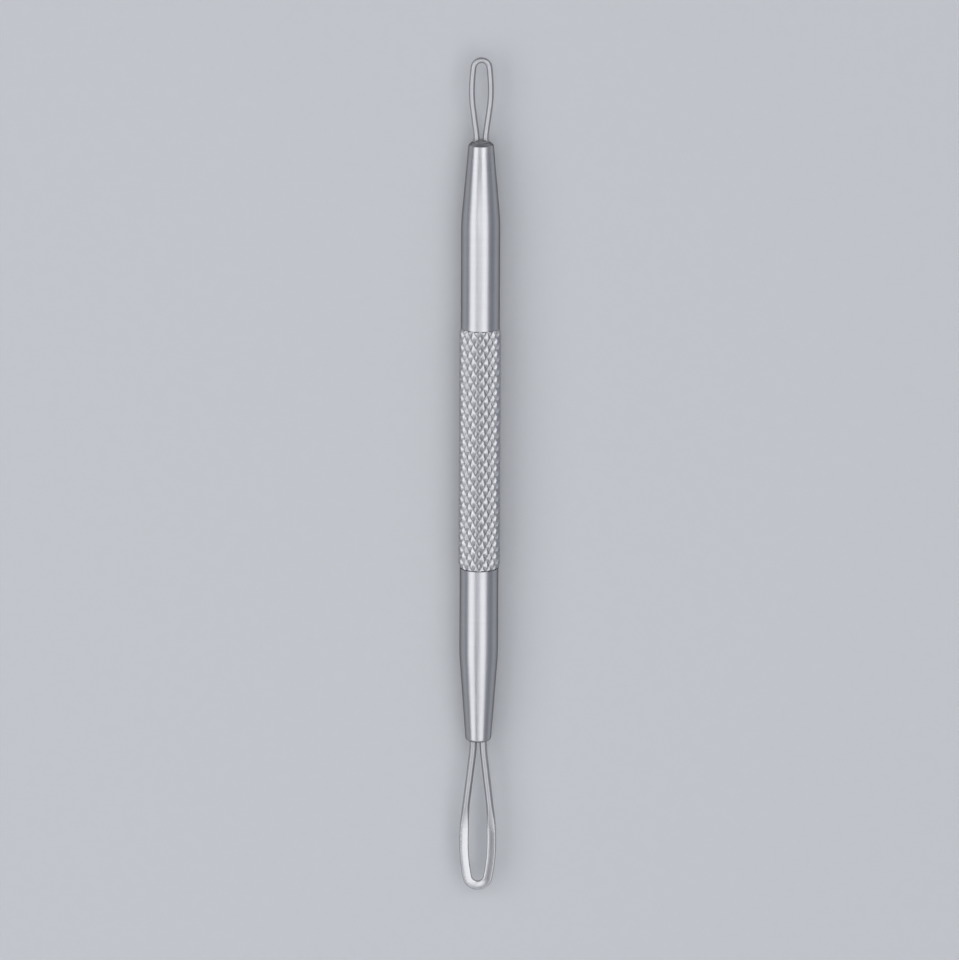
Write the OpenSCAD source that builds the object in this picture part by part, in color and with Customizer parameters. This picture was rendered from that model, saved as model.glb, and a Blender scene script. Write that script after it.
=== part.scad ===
// Double-ended blackhead extractor.
// A turned steel handle with a diamond-knurled grip carries a bent wire loop brazed into each end.
// The tool lies along Y on the plane Z = 0, small loop towards +Y, with both loops level.

/* [Handle] */
// Diameter of the plain barrels on both sides of the grip
barrel_d = 4.6; // [4.2:0.1:6]
// Length of the plain barrel between the grip and the taper of the large loop
large_barrel_l = 10.8; // [6:0.1:20]
// Length of the plain barrel between the grip and the taper of the small loop
small_barrel_l = 12.8; // [6:0.1:20]
// Length of the taper that ends at the large loop
large_taper_l = 10.7; // [7:0.1:16]
// Length of the taper that ends at the small loop
small_taper_l = 9.6; // [7:0.1:16]
// Diameter that the taper reaches at the large loop
large_tip_d = 3.1; // [3:0.05:3.8]
// Diameter that the taper reaches at the small loop
small_tip_d = 2.95; // [2.9:0.05:3.8]
// Radius of the rounded edge at the large loop's end face
large_end_round = 0.4; // [0.1:0.05:0.4]
// Width of the chamfer at the small loop's end face
small_end_chamfer = 0.38; // [0.1:0.02:0.4]
// Radius of the soft bend where a taper leaves its barrel
taper_blend_r = 24; // [4:1:40]

/* [Knurled grip] */
// Length of the knurled band
grip_l = 29.4; // [20:0.1:40]
// Diameter over the diamonds' flat tops
crest_d = 5; // [4.8:0.05:6.4]
// Diameter at the bottom of the grooves
groove_d = 4.36; // [4:0.02:4.4]
// Number of diamonds around the grip
diamonds_round = 16; // [12:2:20]
// Length of one diamond along the grip
diamond_l = 1.55; // [1.2:0.05:2.4]
// Flat top of a diamond, as a share of the diamond
diamond_top = 0.3; // [0.15:0.05:0.6]

/* [Large loop] */
// Length of the large loop beyond the handle's end face
large_loop_l = 18.9; // [15:0.1:24]
// Widest outside width of the large loop
large_loop_w = 4.48; // [4:0.02:5.4]
// Diameter of the large loop's wire
large_wire_d = 0.88; // [0.7:0.02:0.9]
// Distance between the two legs of the large loop in the handle, centre to centre
large_leg_gap = 1.2; // [1:0.02:1.2]
// Bend radius of the wire's centreline round the large loop's tip
large_tip_r = 1.25; // [1:0.01:1.4]
// Angle of each straight leg of the large loop to the handle's axis
large_leg_angle = 6.7; // [6:0.1:8]
// Bend radius where a leg of the large loop leaves the handle
large_root_r = 17; // [5:1:20]
// Bend radius between a straight leg and the widest place of the large loop
large_belly_r = 45; // [20:1:50]

/* [Flattened band of the large loop] */
// Width of the flattened band
band_w = 1.14; // [0.95:0.01:1.2]
// Thickness of the flattened band
band_t = 0.56; // [0.45:0.01:0.7]
// Distance from the handle's end face to where the wire starts to widen
band_start = 7.7; // [5:0.1:9]
// Length over which the round wire turns into the flat band
band_change_l = 4.2; // [2:0.1:5]
// Angle by which the band's inner edge leans down, so that the loop is slightly dished
band_dish = 8; // [0:1:15]

/* [Small loop] */
// Length of the small loop beyond the handle's end face
small_loop_l = 10.1; // [8.5:0.1:14]
// Widest outside width of the small loop
small_loop_w = 2.92; // [2.8:0.02:3.4]
// Diameter of the small loop's wire
small_wire_d = 0.7; // [0.5:0.02:0.76]
// Distance between the two legs of the small loop in the handle, centre to centre
small_leg_gap = 1.06; // [0.9:0.02:1.2]
// Bend radius of the wire's centreline round the small loop's tip
small_tip_r = 0.93; // [0.7:0.01:1]
// Angle of each straight leg of the small loop to the handle's axis
small_leg_angle = 7.6; // [7:0.1:9]
// Bend radius where a leg of the small loop leaves the handle
small_root_r = 6; // [3:0.5:10]
// Bend radius between a straight leg and the widest place of the small loop
small_belly_r = 15.5; // [8:0.5:18]

/* [Wire seats] */
// Length of each wire leg inside the handle
leg_depth = 7; // [4:0.5:8]
// Length of empty bore behind the wire legs, up to the drill point
bore_spare = 0.8; // [0.2:0.1:2]
// Room between a wire leg and the wall of its bore
bore_clearance = 0.04; // [0.02:0.01:0.08]
// Full point angle of the drill that made the bores
drill_angle = 118; // [90:2:140]
// Depth to which the braze runs into each bore
braze_depth = 2.5; // [1:0.1:4]
// Height of the braze that stands on the end face at the large loop
large_braze_h = 0.12; // [0.05:0.01:0.3]
// Height of the braze that stands on the end face at the small loop
small_braze_h = 0.3; // [0.1:0.01:0.5]
// How far the braze spreads over the end face past the bore
braze_spread = 0.06; // [0.02:0.01:0.07]

/* [Hidden] */
$fn = 64;

STEEL = [0.74, 0.74, 0.77];
KNURLED_STEEL = [0.68, 0.68, 0.71];
WIRE_STEEL = [0.62, 0.62, 0.65];
BRAZE = [0.66, 0.65, 0.63];

handle_l = large_taper_l + large_barrel_l + grip_l + small_barrel_l + small_taper_l;
overall_l = large_loop_l + handle_l + small_loop_l;
large_face_y = large_loop_l - overall_l / 2;
small_face_y = large_face_y + handle_l;
grip_y = large_face_y + large_taper_l + large_barrel_l;
axis_z = crest_d / 2;

large_bore_d = large_leg_gap + large_wire_d + 2 * bore_clearance;
small_bore_d = small_leg_gap + small_wire_d + 2 * bore_clearance;
bore_l = leg_depth + bore_spare;

// The grip holds whole half diamonds, and its two end rings lie just under the barrels' surface.
half_rows = 2 * round(grip_l / diamond_l);
half_row_l = grip_l / half_rows;
ring_count = 2 * diamonds_round;
end_ring_inset = 0.02;
end_ring_r = barrel_d / 2 - end_ring_inset;

// A wire's cross-section is a superellipse: power 2 is round, and a higher power has flatter faces.
ROUND_POWER = 2;
BAND_POWER = 3.4;
LARGE_WIRE_SIDES = 20;
SMALL_WIRE_SIDES = 16;

// Points of an arc of radius r about centre, from one angle to the other
function arc(centre, r, from, to, steps) =
    [for (i = [0 : steps]) let (a = from + (to - from) * i / steps) centre + r * [cos(a), sin(a)]];

// Smooth change from 0 to 1 as t passes from 0 to 1
function ease(t) = let (u = min(1, max(0, t))) u * u * (3 - 2 * u);

// The blend between a barrel and its taper, in a profile of radius against length
function blend_arc(barrel_l, taper_l, tip_d) =
    let (slope = atan((barrel_d - tip_d) / 2 / taper_l),
         tangent_l = taper_blend_r * tan(slope / 2))
    arc([barrel_d / 2 - taper_blend_r, barrel_l - tangent_l], taper_blend_r, 0, slope, 5);

// Half profile of a plain end whose rim is rounded
function rounded_end(barrel_l, taper_l, tip_d, rim_r) =
    concat(
        [[0, 0], [barrel_d / 2, 0]],
        blend_arc(barrel_l, taper_l, tip_d),
        arc([tip_d / 2 - rim_r, barrel_l + taper_l - rim_r], rim_r, 0, 90, 6),
        [[0, barrel_l + taper_l]]);

// Half profile of a plain end whose rim is chamfered
function chamfered_end(barrel_l, taper_l, tip_d, rim) =
    concat(
        [[0, 0], [barrel_d / 2, 0]],
        blend_arc(barrel_l, taper_l, tip_d),
        [[tip_d / 2, barrel_l + taper_l - rim], [tip_d / 2 - rim, barrel_l + taper_l]],
        [[0, barrel_l + taper_l]]);

// A point on the knurled surface, at a place counted in half diamonds round and along the grip
function knurl_point(r, around, along) =
    let (a = around * 360 / ring_count)
    [r * cos(a), r * sin(a), along * half_row_l];

// Places where j + k is odd are groove crossings, and the others are diamond tops.
// A diamond top has four corners: 0 east, 1 north, 2 west and 3 south.
TOP_CORNERS = [[1, 0], [0, 1], [-1, 0], [0, -1]];
crossings_start = 2 * ring_count;
tops_start = crossings_start + (half_rows - 1) * diamonds_round;

function knurl_points() = concat(
    [for (j = [0 : ring_count - 1]) knurl_point(end_ring_r, j, 0)],
    [for (j = [0 : ring_count - 1]) knurl_point(end_ring_r, j, half_rows)],
    [for (k = [1 : half_rows - 1], m = [0 : diamonds_round - 1])
        knurl_point(groove_d / 2, 2 * m + 1 - k % 2, k)],
    [for (k = [1 : half_rows - 1], m = [0 : diamonds_round - 1], c = TOP_CORNERS)
        knurl_point(crest_d / 2, 2 * m + k % 2 + diamond_top * c[0], k + diamond_top * c[1])]);

function knurl_index(j, k, corner) =
    let (jj = j % ring_count, place = (k - 1) * diamonds_round + floor(jj / 2))
    k == 0 ? jj
    : k == half_rows ? ring_count + jj
    : (jj + k) % 2 == 1 ? crossings_start + place
    : tops_start + 4 * place + corner;

// One flank of a diamond, from two corners of its top down to the groove between two crossings
function flank(top_a, top_b, groove_a, groove_b) =
    top_a == top_b ? [[top_a, groove_a, groove_b]]
    : [[top_a, groove_a, groove_b], [top_a, groove_b, top_b]];

function cell_flanks(j, k) =
    (j + k) % 2 == 0
    ? concat(
        flank(knurl_index(j, k, 1), knurl_index(j, k, 0),
              knurl_index(j, k + 1, 0), knurl_index(j + 1, k, 0)),
        flank(knurl_index(j + 1, k + 1, 3), knurl_index(j + 1, k + 1, 2),
              knurl_index(j + 1, k, 0), knurl_index(j, k + 1, 0)))
    : concat(
        flank(knurl_index(j + 1, k, 2), knurl_index(j + 1, k, 1),
              knurl_index(j, k, 0), knurl_index(j + 1, k + 1, 0)),
        flank(knurl_index(j, k + 1, 0), knurl_index(j, k + 1, 3),
              knurl_index(j + 1, k + 1, 0), knurl_index(j, k, 0)));

function knurl_faces() = concat(
    [[for (j = [0 : ring_count - 1]) j]],
    [[for (j = [0 : ring_count - 1]) 2 * ring_count - 1 - j]],
    [for (k = [0 : half_rows - 1], j = [0 : ring_count - 1]) each cell_flanks(j, k)],
    [for (k = [1 : half_rows - 1], m = [0 : diamonds_round - 1])
        let (top = tops_start + 4 * ((k - 1) * diamonds_round + m))
        each [[top + 3, top + 2, top + 1], [top + 3, top + 1, top]]]);

// A station on a wire's centreline is [x, y, heading], with the heading turning from +Y towards +X.
function step_on(station, length, turn) =
    let (half = turn / 2,
         chord = turn == 0 ? length : length * sin(half) / (half * PI / 180),
         heading = station[2] + half)
    [station[0] + chord * sin(heading), station[1] + chord * cos(heading), station[2] + turn];

// Stations along a chain of straight and round stretches, each [length, turn, steps]
function stations(start, stretches, i = 0) =
    i == len(stretches) ? [start]
    : let (s = stretches[i])
      concat(
          [for (n = [0 : s[2] - 1]) step_on(start, s[0] * n / s[2], s[1] * n / s[2])],
          stations(step_on(start, s[0], s[1]), stretches, i + 1));

function arc_length(r, turn) = r * turn * PI / 180;

// Left half of a loop's centreline, from the leg's end inside the handle to the middle of the tip.
// y = 0 is the handle's end face, and the loop's widest place is reached at y = widest_y.
function loop_half(loop_l, half_w, tip_thick, leg_gap, lead, tip_r, leg_angle, root_r, belly_r) =
    let (rise = (root_r + belly_r) * (1 - cos(leg_angle)),
         straight_l = (half_w - leg_gap / 2 - rise) / sin(leg_angle),
         widest_y = lead + (root_r + belly_r) * sin(leg_angle) + straight_l * cos(leg_angle),
         to_tip = loop_l - tip_thick / 2 - tip_r - widest_y,
         side_r = (half_w ^ 2 - tip_r ^ 2 + to_tip ^ 2) / (2 * (half_w - tip_r)),
         side_turn = asin(to_tip / (side_r - tip_r)))
    stations([-leg_gap / 2, -leg_depth, 0], [
        [leg_depth + lead, 0, 1],
        [arc_length(root_r, leg_angle), -leg_angle, 3],
        [straight_l, 0, 6],
        [arc_length(belly_r, leg_angle), leg_angle, 7],
        [arc_length(side_r, side_turn), side_turn, 7],
        [arc_length(tip_r, 90 - side_turn), 90 - side_turn, 10]]);

// Both halves of a loop, the second being the first mirrored and walked backwards
function whole_loop(half) =
    let (last = len(half) - 1)
    concat(half, [for (i = [last - 1 : -1 : 0]) [-half[i][0], half[i][1], 180 - half[i][2]]]);

function signed_power(value, power) = sign(value) * abs(value) ^ power;

// A ring of points round a station: a superellipse whose inner edge, on the right, leans down by dish
function section_ring(station, sides, width, thick, power, dish) =
    [for (n = [0 : sides - 1])
        let (a = 360 * n / sides,
             u = width / 2 * signed_power(cos(a), 2 / power),
             v = thick / 2 * signed_power(sin(a), 2 / power),
             across = u * cos(dish) + v * sin(dish))
        [station[0] + across * cos(station[2]),
         station[1] - across * sin(station[2]),
         v * cos(dish) - u * sin(dish)]];

// How far the large loop's wire has turned into the flat band at a distance from the end face
function band_share(y) = ease((y - band_start) / band_change_l);

function blend(a, b, share) = a + (b - a) * share;

function large_ring(station) =
    let (share = band_share(station[1]))
    section_ring(station, LARGE_WIRE_SIDES, blend(large_wire_d, band_w, share),
        blend(large_wire_d, band_t, share), blend(ROUND_POWER, BAND_POWER, share), band_dish * share);

function small_ring(station) =
    section_ring(station, SMALL_WIRE_SIDES, small_wire_d, small_wire_d, ROUND_POWER, 0);

function large_stations() = whole_loop(loop_half(
    large_loop_l, (large_loop_w - band_w) / 2, band_w * cos(band_dish), large_leg_gap,
    large_braze_h, large_tip_r, large_leg_angle, large_root_r, large_belly_r));

function small_stations() = whole_loop(loop_half(
    small_loop_l, (small_loop_w - small_wire_d) / 2, small_wire_d, small_leg_gap,
    small_braze_h, small_tip_r, small_leg_angle, small_root_r, small_belly_r));

// Closes a skin over rings that all have the same number of points
module skin(rings) {
    sides = len(rings[0]);
    last = len(rings) - 1;
    polyhedron(
        points = [for (ring = rings) each ring],
        faces = concat(
            [[for (n = [0 : sides - 1]) n]],
            [[for (n = [0 : sides - 1]) last * sides + sides - 1 - n]],
            [for (i = [0 : last - 1], n = [0 : sides - 1])
                let (a = i * sides + n, b = i * sides + (n + 1) % sides)
                each [[a, a + sides, b], [b, a + sides, b + sides]]]),
        convexity = 6);
}

// Places children so that their +Z runs along the handle from its end face at the large loop
module along_handle(y) {
    translate([0, y, axis_z]) rotate([-90, 0, 0]) children();
}

// Places children so that their +Z runs out of the end face at the large loop
module out_of_large_end(y) {
    translate([0, y, axis_z]) rotate([90, 0, 0]) children();
}

module knurled_grip() {
    color(KNURLED_STEEL) polyhedron(points = knurl_points(), faces = knurl_faces(), convexity = 4);
}

// A blind bore with a drill point, cut from the end face downwards
module wire_bore(bore_d) {
    point_l = bore_d / 2 / tan(drill_angle / 2);
    overcut = 1;
    translate([0, 0, -bore_l]) cylinder(d = bore_d, h = bore_l + overcut);
    translate([0, 0, -bore_l - point_l]) cylinder(d1 = 0, d2 = bore_d, h = point_l);
}

module handle() {
    difference() {
        union() {
            along_handle(grip_y) knurled_grip();
            color(STEEL) along_handle(grip_y + grip_l)
                rotate_extrude() polygon(chamfered_end(small_barrel_l, small_taper_l, small_tip_d, small_end_chamfer));
            color(STEEL) out_of_large_end(grip_y)
                rotate_extrude() polygon(rounded_end(large_barrel_l, large_taper_l, large_tip_d, large_end_round));
        }
        along_handle(small_face_y) wire_bore(small_bore_d);
        out_of_large_end(large_face_y) wire_bore(large_bore_d);
    }
}

module large_loop() {
    color(WIRE_STEEL) translate([0, large_face_y, axis_z]) rotate([0, 0, 180])
        skin([for (station = large_stations()) large_ring(station)]);
}

module small_loop() {
    color(WIRE_STEEL) translate([0, small_face_y, axis_z])
        skin([for (station = small_stations()) small_ring(station)]);
}

// Braze round two wire legs: a plug in the bore's mouth under a low dome on the end face
module braze(bore_d, leg_gap, wire_d, dome_h) {
    foot_r = bore_d / 2 + braze_spread;
    dome_r = (foot_r ^ 2 + dome_h ^ 2) / (2 * dome_h);
    overcut = 0.5;
    difference() {
        union() {
            translate([0, 0, -braze_depth]) cylinder(d = bore_d, h = braze_depth);
            intersection() {
                translate([0, 0, dome_h - dome_r]) sphere(r = dome_r);
                cylinder(r = foot_r + overcut, h = dome_h + overcut);
            }
        }
        for (side = [-1, 1])
            translate([side * leg_gap / 2, 0, -braze_depth - overcut])
                cylinder(d = wire_d, h = braze_depth + dome_h + 2 * overcut);
    }
}

module large_loop_braze() {
    color(BRAZE) out_of_large_end(large_face_y)
        braze(large_bore_d, large_leg_gap, large_wire_d, large_braze_h);
}

module small_loop_braze() {
    color(BRAZE) along_handle(small_face_y)
        braze(small_bore_d, small_leg_gap, small_wire_d, small_braze_h);
}

handle();
large_loop();
small_loop();
large_loop_braze();
small_loop_braze();
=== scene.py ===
import math

import bmesh
import bpy
from mathutils import Matrix, Vector


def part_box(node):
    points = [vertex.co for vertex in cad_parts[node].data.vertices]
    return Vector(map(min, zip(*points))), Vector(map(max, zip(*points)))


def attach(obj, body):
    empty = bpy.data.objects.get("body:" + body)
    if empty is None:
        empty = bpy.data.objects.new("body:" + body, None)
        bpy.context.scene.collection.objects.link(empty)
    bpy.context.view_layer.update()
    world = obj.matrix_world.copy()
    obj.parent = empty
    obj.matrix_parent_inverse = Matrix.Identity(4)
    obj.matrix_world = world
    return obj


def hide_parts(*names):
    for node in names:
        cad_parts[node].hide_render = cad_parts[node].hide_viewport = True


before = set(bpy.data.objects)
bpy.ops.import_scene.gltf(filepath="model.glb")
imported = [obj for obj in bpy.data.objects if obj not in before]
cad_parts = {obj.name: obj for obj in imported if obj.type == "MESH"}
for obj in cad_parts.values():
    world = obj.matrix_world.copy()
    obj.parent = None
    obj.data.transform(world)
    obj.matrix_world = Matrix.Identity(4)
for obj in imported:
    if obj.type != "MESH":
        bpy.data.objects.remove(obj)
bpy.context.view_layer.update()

bl_info = {
    "name": "Blackhead Extractor",
    "version": (1, 0, 0),
    "blender": (4, 5, 0),
    "location": "View3D > Sidebar > Extractor",
    "description": "A double-ended loop tool with a diamond-knurled steel handle, on a pale studio floor",
    "category": "Object",
}

MM = 0.001
HANDLE_LOW, HANDLE_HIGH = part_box("handle")
AXIS_Z = (HANDLE_LOW[2] + HANDLE_HIGH[2]) / 2
LARGE_FACE_Y = HANDLE_LOW[1]
SMALL_FACE_Y = HANDLE_HIGH[1]
LARGE_LOOP_L = LARGE_FACE_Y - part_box("large_loop")[0][1]
SMALL_LOOP_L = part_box("small_loop")[1][1] - SMALL_FACE_Y

# Points closer together than this count as one
TOUCH = 1e-7
# Edges sharper than this, in degrees, look hard: on turned metal, on round wire and on pressed wire
HARD_EDGE = 30
WIRE_HARD_EDGE = 60
BAND_HARD_EDGE = 85
# A press takes hold of one ring of the wire by reaching this share of a step to both sides
RING_REACH = 0.4
# Size of the knurled band's hidden ends, as a share of the band
HIDDEN_END = 0.97

# Fineness of the surface marks in X, Y and Z
TURNED_LINES = (300, 16000, 300)
TURNED_STREAKS = (60, 2600, 60)
DRAWN_LINES = (9000, 12, 9000)
DRAWN_STREAKS = (3200, 9, 3200)
BRAZE_GRAIN = (9000, 9000, 9000)
BRAZE_MOTTLE = (2600, 2600, 2600)
SMUDGES = (260, 140, 260)
# Wavy border of the painted shade at the end faces
END_SHADE_BLOTCHES = (2500, 2500, 2500)
PAPER_TOOTH = (700, 700, 700)

SKY_COLOUR = (0.8, 0.86, 1.0, 1)
SKY_STRENGTH = 0.336
SENSOR_W = 36
# Soft boxes: name, direction from the tool, distance, width, length and brightness
SOFT_BOXES = (
    ("LeftStrip", (-0.71, -0.12, 0.7), 0.6, 0.42, 0.8, 1.38),
    ("RightStrip", (0.42, -0.12, 0.9), 0.6, 0.4, 0.8, 1.38),
    ("TopPanel", (-0.14, -0.03, 0.99), 0.5, 0.2, 0.185, 1.5),
    ("UpperBox", (0.0, 0.48, 0.78), 0.9, 0.9, 0.3, 1.44),
    ("UpperLeft", (-0.66, 0.52, 0.54), 0.9, 0.4, 0.4, 0.95),
    ("UpperRight", (0.66, 0.52, 0.54), 0.9, 0.4, 0.4, 0.95),
    ("LowerFill", (-0.06, -0.47, 0.88), 0.8, 0.2, 0.1, 1.8),
    ("LowerBox", (0.0, -0.85, 0.45), 0.9, 1.4, 0.4, 0.3),
)


def length_prop(label, about, millimetres):
    """A length that the user can change, given in millimetres"""
    return bpy.props.FloatProperty(
        name=label, description=about, default=millimetres * MM, min=0.0,
        unit='LENGTH', precision=5)


def angle_prop(label, about, degrees):
    """An angle that the user can change, given in degrees"""
    return bpy.props.FloatProperty(
        name=label, description=about, default=math.radians(degrees), unit='ROTATION')


def share_prop(label, about, value):
    """A share between nothing and all"""
    return bpy.props.FloatProperty(
        name=label, description=about, default=value, min=0.0, max=1.0, subtype='FACTOR')


def colour_prop(label, about, value):
    """A colour that the user can change"""
    return bpy.props.FloatVectorProperty(
        name=label, description=about, default=value, size=3, min=0.0, max=1.0, subtype='COLOR')


class HandleSizes(bpy.types.PropertyGroup):
    """Sizes of the turned handle without its knurl"""
    barrel_d: length_prop("Barrel diameter", "Diameter of the plain barrels", 4.6)
    large_barrel_l: length_prop("Large barrel", "Plain barrel on the large loop's side", 10.8)
    small_barrel_l: length_prop("Small barrel", "Plain barrel on the small loop's side", 12.8)
    large_taper_l: length_prop("Large taper", "Taper that ends at the large loop", 10.7)
    small_taper_l: length_prop("Small taper", "Taper that ends at the small loop", 9.6)
    large_tip_d: length_prop("Large tip", "Diameter at the large loop", 3.1)
    small_tip_d: length_prop("Small tip", "Diameter at the small loop", 2.95)
    end_round: length_prop("Rounded rim", "Radius of the rim at the large loop", 0.4)
    end_chamfer: length_prop("Chamfered rim", "Width of the chamfer at the small loop", 0.38)
    blend_r: length_prop("Taper blend", "Radius of the soft bend where a taper starts", 24)
    core_d: length_prop("Core", "Diameter of the rod inside the knurled band", 4.2)
    bore_l: length_prop("Bore depth", "Depth of each wire bore up to its drill point", 7.8)
    drill_angle: angle_prop("Drill angle", "Full angle of the drill point", 118)
    sides: bpy.props.IntProperty(
        name="Sides", description="Number of sides of the turned surfaces", default=120, min=24)


class KnurlSizes(bpy.types.PropertyGroup):
    """Sizes of the diamond knurl"""
    groove_d: length_prop("Groove diameter", "Diameter at the bottom of the grooves", 4.36)
    flank_w: length_prop("Flank width", "Width of a diamond's sloping flank", 0.235)
    crest_h: length_prop("Crest height", "Height of a diamond's top over the grooves", 0.315)
    softness: length_prop("Edge softness", "Width of the worn edges of a diamond", 0.05)
    diamonds_round: bpy.props.IntProperty(
        name="Diamonds round", description="Number of diamonds around the grip", default=16, min=6)
    half_rows: bpy.props.IntProperty(
        name="Half rows", description="Number of half diamonds along the grip", default=38, min=2)
    end_share: share_prop("End diamonds", "Size of the half diamonds at both ends of the band", 0.62)
    run_out: length_prop("Run-out", "How far the band runs on inside the barrels", 0.03)


class LargeLoopSizes(bpy.types.PropertyGroup):
    """Sizes of the large loop and its pressed band"""
    width: length_prop("Width", "Widest outside width", 4.48)
    wire_d: length_prop("Wire", "Diameter of the round wire", 0.88)
    leg_gap: length_prop("Leg gap", "Distance between the legs, centre to centre", 1.2)
    tip_r: length_prop("Tip radius", "Bend radius of the centreline round the tip", 1.25)
    leg_angle: angle_prop("Leg angle", "Angle of each straight leg to the axis", 6.7)
    root_r: length_prop("Root radius", "Bend radius where a leg leaves the handle", 17)
    belly_r: length_prop("Belly radius", "Bend radius before the widest place", 45)
    band_w: length_prop("Band width", "Width of the pressed band", 1.14)
    band_t: length_prop("Band thickness", "Thickness of the pressed band", 0.56)
    band_start: length_prop("Band start", "Where the wire starts to widen", 7.7)
    band_change_l: length_prop("Band change", "Length over which the wire turns into the band", 4.2)
    band_dish: angle_prop("Band dish", "Lean of the band's inner edge", 8)
    band_flat: share_prop("Band flatness", "How far the press squares the band's edges", 0.5)
    band_crown: share_prop("Band crown", "How much roundness the press leaves on the band's faces", 0.2)


class SmallLoopSizes(bpy.types.PropertyGroup):
    """Sizes of the small round-wire loop"""
    width: length_prop("Width", "Widest outside width", 2.92)
    wire_d: length_prop("Wire", "Diameter of the round wire", 0.7)
    leg_gap: length_prop("Leg gap", "Distance between the legs, centre to centre", 1.06)
    tip_r: length_prop("Tip radius", "Bend radius of the centreline round the tip", 0.93)
    leg_angle: angle_prop("Leg angle", "Angle of each straight leg to the axis", 7.6)
    root_r: length_prop("Root radius", "Bend radius where a leg leaves the handle", 6)
    belly_r: length_prop("Belly radius", "Bend radius before the widest place", 15.5)


class BrazeSizes(bpy.types.PropertyGroup):
    """Sizes of the joint metal at both loops"""
    leg_depth: length_prop("Leg depth", "Length of each wire leg inside the handle", 7)
    bore_clearance: length_prop("Bore clearance", "Room between a leg and its bore", 0.04)
    depth: length_prop("Braze depth", "How far the braze runs into a bore", 2.5)
    large_h: length_prop("Large dome", "Height of the braze at the large loop", 0.12)
    small_h: length_prop("Small dome", "Height of the braze at the small loop", 0.3)
    spread: length_prop("Spread", "How far the braze spreads past the bore", 0.06)


class SteelFinish(bpy.types.PropertyGroup):
    """Colours of the steels and of the joint metal, with the painted shades in the knurl's grooves, on the
    end faces and at the handle's sides
    """
    turned: colour_prop("Turned steel", "Satin steel of the handle", (0.55, 0.546, 0.56))
    # Painted shade: this colour darkens the knurl's grooves as if shade fell in them
    painted_groove_shade: colour_prop("Painted groove shade", "Painted shade in the knurl's grooves", (0.54, 0.54, 0.55))
    # Painted shade: this dark tint darkens the turned steel's reflection where it is seen at a low angle,
    # so the handle's outer sides look shaded
    edge: colour_prop(
        "Edge tint", "Tint of the turned steel where it is seen at a low angle", (0.22, 0.22, 0.23))
    wire: colour_prop("Wire steel", "Drawn steel of the loops", (0.485, 0.485, 0.5))
    band: colour_prop("Band steel", "Brighter steel of the pressed band", (0.512, 0.508, 0.516))
    braze: colour_prop("Joint metal", "Dull silver braze", (0.45, 0.442, 0.434))
    # Painted shade: this dark colour stands in for the shade that the end faces and rims reflect
    painted_end_shade: colour_prop("Painted end shade", "Painted shade on the end faces and rims", (0.334, 0.334, 0.346))
    roughness: share_prop("Roughness", "Roughness of the turned steel", 0.3)
    wire_roughness: share_prop("Wire roughness", "Roughness of the round wire", 0.4)
    band_roughness: share_prop("Band roughness", "Roughness of the pressed band", 0.24)


class StudioSettings(bpy.types.PropertyGroup):
    """Floor, light and camera"""
    floor: colour_prop("Floor", "Colour of the pale floor", (0.533, 0.541, 0.554))
    slant: angle_prop("Camera slant", "How far the camera leans towards the small loop", 15)
    roll: angle_prop("Camera roll", "Turn of the picture", 0.28)
    distance: bpy.props.FloatProperty(
        name="Camera distance", description="From the camera to the tool", default=0.83, unit='LENGTH')
    frame_h: bpy.props.FloatProperty(
        name="Frame height", description="Height of the picture at the tool", default=0.114, unit='LENGTH')


def rest_all():
    """Leave edit mode with nothing selected"""
    if bpy.context.object and bpy.context.object.mode != 'OBJECT':
        bpy.ops.object.mode_set(mode='OBJECT')
    bpy.ops.object.select_all(action='DESELECT')


def take(obj):
    """Select one object alone and make it active"""
    rest_all()
    obj.select_set(True)
    bpy.context.view_layer.objects.active = obj


def edit(obj):
    """Open one object in edit mode"""
    take(obj)
    bpy.ops.object.mode_set(mode='EDIT')


def pick(obj, kind, test):
    """Select the vertices, edges or faces that pass a test, in edit mode"""
    bpy.ops.mesh.select_mode(type=kind)
    bpy.ops.mesh.select_all(action='DESELECT')
    mesh = bmesh.from_edit_mesh(obj.data)
    for item in {'VERT': mesh.verts, 'EDGE': mesh.edges, 'FACE': mesh.faces}[kind]:
        if test(item):
            item.select_set(True)
    mesh.select_flush_mode()
    bmesh.update_edit_mesh(obj.data)


def ring_across(name, sides, radius, centre):
    """Start a mesh with a ring of points across the Y direction, open in edit mode"""
    rest_all()
    bpy.ops.mesh.primitive_circle_add(
        vertices=sides, radius=radius, location=centre, rotation=(math.radians(90), 0, 0))
    obj = bpy.context.object
    obj.name = name
    obj.data.name = name
    bpy.ops.object.transform_apply(location=True, rotation=True, scale=True)
    bpy.ops.object.mode_set(mode='EDIT')
    bpy.ops.mesh.select_all(action='SELECT')
    return obj


def extrude_on(dy):
    """Extrude what is selected along Y"""
    bpy.ops.mesh.extrude_region_move(TRANSFORM_OT_translate={"value": (0, dy, 0)})


def turn_profile(profile, x=0.0):
    """Extrude and resize the selected ring along a profile of (y, radius) points"""
    y_now, r_now = profile[0]
    for y, r in profile[1:]:
        extrude_on(y - y_now)
        bpy.ops.transform.resize(value=(r / r_now, 1, r / r_now), center_override=(x, y, AXIS_Z))
        y_now, r_now = y, r


def close_to_point(dy):
    """Extrude the selected ring and draw it together in one point"""
    extrude_on(dy)
    bpy.ops.mesh.merge(type='CENTER')


def shade_smooth(obj, hard_edge):
    """Shade an object smooth, apart from its hard edges"""
    take(obj)
    bpy.ops.object.shade_smooth_by_angle(angle=math.radians(hard_edge))


def finish_mesh(obj, hard_edge=HARD_EDGE):
    """Close seams, turn all faces outwards and shade the mesh"""
    edit(obj)
    bpy.ops.mesh.select_all(action='SELECT')
    bpy.ops.mesh.remove_doubles(threshold=TOUCH)
    bpy.ops.mesh.normals_make_consistent(inside=False)
    shade_smooth(obj, hard_edge)


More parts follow.
